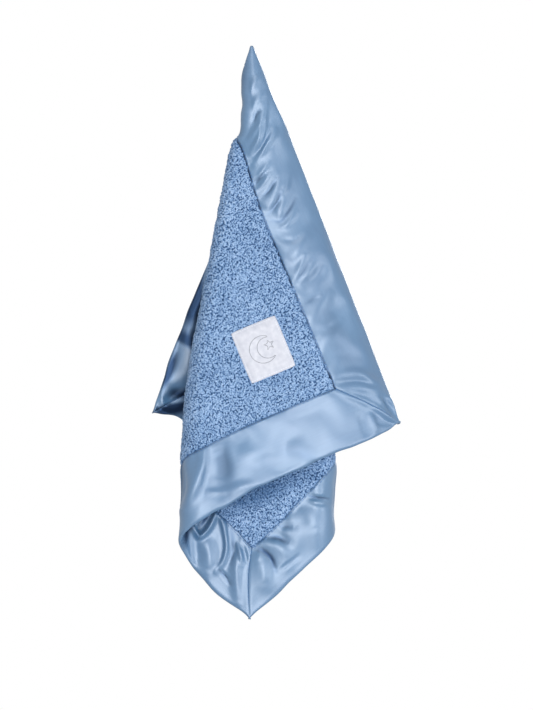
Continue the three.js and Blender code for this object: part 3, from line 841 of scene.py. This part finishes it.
# Slanted oval tufts at jittered places: 1 on top of a tuft, 0 in the gaps
def tufts(u, v, size, seed):
    rng = np.random.default_rng(seed)
    count = int(side / size) + 4
    jitter = rng.uniform(0.05, 0.95, (count, count, 2))
    girth = rng.uniform(0.75, 1.1, (count, count))
    slant = rng.uniform(0, np.pi, (count, count))
    longer = rng.uniform(1.0, 1.5, (count, count))
    a = np.floor(u / size).astype(int) + 1
    b = np.floor(v / size).astype(int) + 1
    best = np.zeros_like(u)
    for i in (-1, 0, 1):
        for j in (-1, 0, 1):
            ci = np.clip(a + i, 0, count - 1)
            cj = np.clip(b + j, 0, count - 1)
            du = u - (ci - 1 + jitter[ci, cj, 0]) * size
            dv = v - (cj - 1 + jitter[ci, cj, 1]) * size
            turn, stretch = slant[ci, cj], longer[ci, cj]
            lengthwise = (du * np.cos(turn) + dv * np.sin(turn)) / stretch
            crosswise = (dv * np.cos(turn) - du * np.sin(turn)) * stretch**0.5
            radius = girth[ci, cj] * size * 0.7
            dome = np.sqrt(np.clip(1 - (lengthwise**2 + crosswise**2) / radius**2, 0, 1))
            best = np.maximum(best, girth[ci, cj] * dome)
    return np.clip(best, 0, 1)


def makePile(name, face, width, seed, fromU, fromV, span):
    cells = round(span / plushPanel["pileStep"])
    pile, a, b = flatCloth(name, cells, cells)
    u, v = fromU + a * span, fromV + b * span
    ragged = randomLine(seed, (u + 7) / 2.7) * randomLine(seed + 3, v / 2.7)
    inside = fromEdge(u, v) - width + plushPanel["overhang"] * (1 + ragged)
    inside = np.clip(inside / plushPanel["shoulder"], 0, 1)
    stand = np.sqrt(1 - (1 - inside) ** 2)
    clump = np.sin(u / 4.1 + 2 * np.sin(v / 7.3)) * np.sin(v / 4.7 + 2 * np.sin(u / 6.1))
    small = tufts(u, v, plushPanel["tuft"] * plushPanel["smallTuft"], seed + 7)
    tuft = mix(tufts(u, v, plushPanel["tuft"], seed), small, plushPanel["smallShare"])
    top = blanket["pileThickness"] + 0.5 + plushPanel["clump"] * clump
    full = mix(plushPanel["backingHigh"] + 0.1, top, stand)
    height = full - plushPanel["tuftDepth"] * (1 - tuft) * stand
    height = np.maximum(height, plushPanel["backingHigh"] + 0.05)
    if face > 0:
        under = smooth(outsideLabel(u, v), 0.4, -1)
        height = mix(height, np.minimum(height, label["lift"] - 0.4), under)
    hangUp(pile, u, v, face * height)
    points, layer = hang(u, v)
    # painted shadow on the middle layer's plush, under the bottom side's fold
    shade = paintedShadeAt(plushShade, points[:, 0], points[:, 2]) * (np.abs(layer - 1) < 0.5)
    shade = 1 - plushPanel["shade"] * shade * (face < 0)
    # painted shade: the gaps between tufts are dark, the low pile beside a seam is halved, and the
    # shade under the fold is multiplied in
    addVertexValue(pile, "pile", tuft * mix(0.5, 1, stand) * shade)
    return settle(pile, "plush_pile", plush)


def makePlushPanel(name, face, width, seed):
    cut = side - 2 * panelInset
    cells = round(cut / plushPanel["backingStep"])
    backing, a, b = flatCloth(name + "_backing", cells, cells)
    u, v = panelInset + a * cut, panelInset + b * cut
    fromSeam = fromEdge(u, v) - width
    top = mix(blanket["allowance"], plushPanel["backingHigh"], smooth(fromSeam, 0, 4))
    hangUp(backing, u, v, face * top)
    thicken(backing, plushPanel["backingThickness"])
    # the backing has no pile, so it takes the gaps' painted deep blue
    addVertexValue(backing, "pile", np.zeros_like(u))
    settle(backing, "plush_pile", plush, name)
    # the pile is modelled in four quarters, to keep each mesh light
    start = width - plushPanel["underStrip"]
    half = side / 2 - start
    piles = [
        makePile(name + "_pile_" + quarter, face, width, seed, fromU, fromV, half)
        for quarter, fromU, fromV in (
            ("top_right", start, start), ("bottom_right", side / 2, start),
            ("top_left", start, side / 2), ("bottom_left", side / 2, side / 2),
        )
    ]


for seed, (faceName, face, width) in enumerate(faces, 11):
    makePlushPanel(faceName + "_plush_panel", face, width, seed)
print("plush panels made")

# Satin binding
binding = {
    "step": 1.25,  # between the vertices
    "tipCrowding": 1.3,  # the rows are closer near the held corner
    "edgeCrowding": 1.6,  # and the columns over this width beside the outer edge
    "crowdedWidth": 12,
    "edgeWave": {"right": 0.3, "bottom": 0.8, "left": 0.6, "top": 0.6},  # the outer edge wavers
    "edgeWaveStep": 17,
    "edgeWaveFrom": 20,  # but not beside the mitres
    "edgeWaveReach": 8,
    # where an edge bulges: its place along the side, its half width, how far
    "edgeBulges": {
        "right": [(352, 6, -1.5)],
        "bottom": [(314, 22, 2.4), (60, 40, 0.8), (350, 10, -1.6), (3.6, 6, -1.5)],
        "left": [(296, 26, 1.0), (350, 16, -1.6), (3.6, 6, -0.8), (26, 16, -4.0)],
        "top": [(352, 6, -0.8)],
    },
    "bulgeReach": 12,
    # painted shade in the dip beside the seam: how dark, on the front and on the back
    "seamShade": {"right": 0.9, "bottom": 0.5, "left": 0.5, "top": 0.5},
    "seamShadeBack": 0.3,
    "seamShadeReach": (3.2, 1.6),
    "edgeRound": 1.9,  # depth of the rounded outer edge
    "edgeSteps": 5,
    "mitreGap": 0.04,
    "tip": 0.7,  # the corners stop this short of a point
}
# Each side by its place on the flat blanket, from how far along it runs and how far in it is
sides = {
    "right": (lambda s, w: (s, w), 21),
    "bottom": (lambda s, w: (side - w, s), 22),
    "left": (lambda s, w: (s, side - w), 23),
    "top": (lambda s, w: (w, s), 24),
}
puckersOf = {sideName: sewDown("loose_satin_" + sideName, seed, relief["puckers"][sideName])
             for sideName, (_, seed) in sides.items()}
print("satin sewn down" + (""))


def makeBinding(sideName):
    place, seed = sides[sideName]
    across = round((front + back) / binding["step"]) + 2 * binding["edgeSteps"]
    down = round(side / binding["step"])
    piece, a, b = flatCloth("satin_" + sideName, across, down)
    # a runs from the front seam over the outer edge to the back seam
    t = a * (front + back) - front
    face = np.where(t <= 0, 1.0, -1.0)
    width = np.where(t <= 0, front, back)
    w = np.abs(t)
    crowded = binding["crowdedWidth"]
    w = np.where(w < crowded, crowded * (w / crowded) ** binding["edgeCrowding"], w)
    low = np.maximum(w, binding["tip"]) + binding["mitreGap"]
    s = mix(low, side - low, b ** binding["tipCrowding"] if sideName in ("right", "top") else b)
    fromMitre = np.minimum(s, side - s) - w
    waver = randomLine(seed + 5, s / binding["edgeWaveStep"])
    out = binding["edgeWave"][sideName] * waver * smooth(fromMitre, 0, binding["edgeWaveFrom"])
    for middle, halfWidth, far in binding["edgeBulges"][sideName]:
        bulge = np.exp(-(((s - middle) / halfWidth) ** 2))
        out = out - far * bulge * np.exp(-w / binding["bulgeReach"])
    u, v = place(s, w + out * np.exp(-w / binding["edgeWaveReach"]))
    height = np.where(
        face > 0,
        leafHeight(u, v, w, s, front, 1, seed, puckersOf[sideName]),
        leafHeight(u, v, w, s, back, -1, seed + 10, puckersOf[sideName]),
    )
    roll = np.sqrt(1 - (1 - np.clip(w / binding["edgeRound"], 0, 1)) ** 2)
    hangUp(piece, u, v, face * height * roll, weave=(s, t))
    points, layer = hang(u, v)
    # painted shade, from the lines listed for the folds, and along the seam
    hollow = onShownLeaves(paintedShadeAt, (frontShadeLines, middleShadeLines, backShadeLines),
                           face, layer, points[:, 0], points[:, 2])
    # painted shade along the seam, strongest on the front's right side
    seamShade = np.where(face > 0, binding["seamShade"][sideName], binding["seamShadeBack"])
    seamShade = seamShade * smooth(width - w, *binding["seamShadeReach"])
    addVertexValue(piece, "hollow", np.maximum(hollow, seamShade))
    thicken(piece, blanket["satinThickness"])
    settle(piece, "satin", satin, "satin_binding_" + sideName)


for sideName in sides:
    makeBinding(sideName)
print("binding made")

# Stitching
stitching = {
    "inset": 2.5,  # in from a leaf's sewn edge
    "length": 3,
    "pitch": 3.8,
    "width": 0.32,  # half the thread's width
    "rise": 0.22,
    "lift": 0.1,  # of its middle over the leaf
    "mitreLift": 0.05,
    "mitrePitch": 0.8,  # closer by this share
}


# A run of stitches along points of the flat blanket
def makeStitches(name, u, v, height, nodes, material=blueThread, slot="sewing_thread",
                 sizes=stitching):
    outwards = facing(u, v)
    points = (hang(u, v)[0] + outwards * height[:, None]) * 0.001
    normals = outwards * np.sign(height)[:, None]
    bm = bmesh.new()
    for i in range(1, len(points) - 1):
        forward = Vector(points[i + 1] - points[i - 1]).normalized()
        sideways = Vector(normals[i]).cross(forward).normalized()
        up = forward.cross(sideways)
        axes = (sideways * sizes["width"], up * sizes["rise"], forward * sizes["length"] / 2)
        lying = Matrix.Translation(Vector(points[i])) @ Matrix(axes).transposed().to_4x4()
        bmesh.ops.create_uvsphere(bm, u_segments=6, v_segments=4, radius=0.001, matrix=lying)
    bmesh.ops.recalc_face_normals(bm, faces=bm.faces)
    piece = makeObject(name, bm)
    piece.data.shade_smooth()
    settle(piece, slot, material, *nodes)


for faceName, face, width in faces:
    inset = width - stitching["inset"]
    runs = []
    for sideName, (place, seed) in sides.items():
        count = int((side - 2 * inset) / stitching["pitch"])
        s = np.linspace(inset, side - inset, count)
        w = np.full(count, inset)
        u, v = place(s, w)
        seed = seed if face > 0 else seed + 10
        height = leafHeight(u, v, w, s, width, face, seed, puckersOf[sideName])
        runs.append((u, v, face * (height + stitching["lift"])))
    u, v, height = (np.concatenate(part) for part in zip(*runs))
    makeStitches("stitching_" + faceName, u, v, height, ["topstitch_" + faceName])

# Each corner by its mitre's places, and where its thread starts
corners = {
    "top_right": (lambda d: (d, d), 34),
    "bottom_right": (lambda d: (side - d, d), 8),
    "bottom_left": (lambda d: (side - d, side - d), 8),
    "top_left": (lambda d: (d, side - d), 8),
}
for cornerName, (place, start) in corners.items():
    for faceName, face, width in faces:
        d = np.arange(start, width - 1, stitching["pitch"] / math.sqrt(2) * stitching["mitrePitch"])
        u, v = place(d)
        height = leafHeight(u, v, d, d, width, face, 0, puckersOf["right"])
        corner = cornerName + "_" + faceName
        makeStitches("mitre_" + corner, u, v, face * (height + stitching["mitreLift"]),
                     ["mitre_stitch_" + corner])
print("stitching made")


# Label
def makeLabel():
    piece, a, b = flatCloth("label_tape", label["width"], label["height"])
    # the corners are rounded: each edge is drawn in near its ends
    aa, bb = a * 2 - 1, b * 2 - 1
    rounding = label["cornerRound"] / label["width"]
    pull = 1 - rounding * np.abs(aa * bb) ** 6
    u = labelU + label["height"] * bb * pull / 2
    v = labelV + label["width"] * aa * pull / 2
    hangUp(piece, u, v, labelHeight(u, v))
    thicken(piece, label["thickness"])
    settle(piece, "label_weave", labelWeave, "sewn_label")


makeLabel()
sewnU = label["height"] / 2 - label["stitchInset"]
sewnV = label["width"] / 2 - label["stitchInset"]
edge = [(labelU + a * sewnU, labelV + b * sewnV)
        for a, b in ((-1, -1), (1, -1), (1, 1), (-1, 1), (-1, -1))]
labelStitch = {"length": 1.7, "pitch": 2.2, "width": 0.22, "rise": 0.16, "lift": 0.05}
u, v = [], []
for (u0, v0), (u1, v1) in zip(edge, edge[1:]):
    count = round(math.hypot(u1 - u0, v1 - v0) / labelStitch["pitch"])
    u.extend(np.linspace(u0, u1, count, endpoint=False))
    v.extend(np.linspace(v0, v1, count, endpoint=False))
u, v = np.array(u), np.array(v)
makeStitches("label_sewing", u, v, labelHeight(u, v) + labelStitch["lift"], ["label_stitch"],
             whiteThread, "label_thread", labelStitch)

# A plain moon and star, drawn in thin grey stitches, stand on the label
motif = {
    "moon": 12,
    "bite": (0.36, 0.77),  # how far it is shifted, and its size, as shares of the moon
    "star": 4.4,
    "starInner": 0.42,
    "starPlace": (6.4, 2),
    # its stitches
    "length": 1.5, "pitch": 1.2, "width": 0.26, "rise": 0.16, "lift": 0.04,
}


def makeMotif(name, x, y):
    u, v = labelU - y, labelV - x
    run = np.append(0, np.cumsum(np.hypot(np.diff(u), np.diff(v))))
    at = np.linspace(0, run[-1], round(run[-1] / motif["pitch"]))
    u, v = np.interp(at, run, u), np.interp(at, run, v)
    makeStitches(name, u, v, labelHeight(u, v) + motif["lift"], [], greyThread, "label_thread",
                 motif)


outer = np.radians(np.linspace(48, 312, 80))
inner = np.radians(np.linspace(288, 72, 60))
shift, size = motif["bite"]
moonX = np.concatenate([np.cos(outer), shift + size * np.cos(inner)]) * motif["moon"]
moonY = np.concatenate([np.sin(outer), size * np.sin(inner)]) * motif["moon"]
makeMotif("label_moon", np.append(moonX, moonX[0]), np.append(moonY, moonY[0]))
points = np.radians(np.arange(0, 361, 36) + 90)
reach = np.where(np.arange(11) % 2 == 0, 1, motif["starInner"]) * motif["star"]
starX, starY = motif["starPlace"]
makeMotif("label_star", starX + reach * np.cos(points), starY + reach * np.sin(points))
print("label made")

# Camera, floor and light
view = {
    "x": -1.75,  # the middle of the picture, in the hanging blanket's plane
    "z": -219,
    "frameHeight": 622,
    "lens": 200,
    "sensor": 36,
    "floor": -0.62,  # in metres
    "floorRadius": 0.9,
}
camera = bpy.data.cameras.new("camera")
camera.lens = view["lens"]
camera.sensor_width = view["sensor"]
cameraObject = bpy.data.objects.new("camera", camera)
scene.collection.objects.link(cameraObject)
distance = view["lens"] * view["frameHeight"] / view["sensor"]
cameraObject.location = (view["x"] * 0.001, -distance * 0.001, view["z"] * 0.001)
cameraObject.rotation_euler = (math.pi / 2, 0, 0)
camera.clip_end = 20
scene.camera = cameraObject

floorMaterial, _ = newMaterial("pale studio floor")
finishMaterial(floorMaterial, {"Base Color": linear("#f4f4f4"), "Roughness": 0.9})
bm = bmesh.new()
bmesh.ops.create_circle(bm, cap_ends=True, segments=96, radius=view["floorRadius"],
                        matrix=Matrix.Translation((0, 0, view["floor"])))
floor = makeObject("floor", bm)
floor.data.materials.append(floorMaterial)

world = bpy.data.worlds.new("studio")
scene.world = world
world.use_nodes = True
tree = world.node_tree
tree.nodes.clear()
rays = addNode(tree, "LightPath")
seen = rays.outputs["Is Camera Ray"]
for ray in ("Is Transmission Ray", "Is Glossy Ray"):
    either = addNode(tree, "Math", {"operation": "MAXIMUM"}, {}, {0: seen, 1: rays.outputs[ray]})
    seen = either.outputs["Value"]
# white where it is seen, and dimmer as light, so that the folds keep their shade
strength = addNode(tree, "Math", {"operation": "MULTIPLY_ADD", "use_clamp": True},
                   {1: 0.75, 2: 0.25}, {0: seen})
background = addNode(tree, "Background", {}, {"Color": (1, 1, 1, 1)},
                     {"Strength": strength.outputs["Value"]})
addNode(tree, "OutputWorld", links={"Surface": background.outputs["Background"]})

lamps = [
    # name, place, size, watts
    ("key", (0.15, -2.2, 0.4), 1.0, 9.5),
    ("low key", (0.15, -2.2, -0.35), 1.0, 28),
    ("fill", (1.7, -1.3, -0.3), 0.9, 14),
    ("top", (-0.4, -0.6, 1.6), 0.8, 8),
    ("behind", (0.6, 2.0, 0.3), 1.2, 36),
]
for name, place, size, watts in lamps:
    lamp = bpy.data.lights.new(name, "AREA")
    lamp.size = size
    lamp.energy = watts
    lampObject = bpy.data.objects.new(name, lamp)
    lampObject.location = place
    aim = Vector((0, 0, -0.2)) - Vector(place)
    lampObject.rotation_euler = aim.to_track_quat("-Z", "Y").to_euler()
    scene.collection.objects.link(lampObject)

scene.view_settings.view_transform = "Standard"
print("stage made")
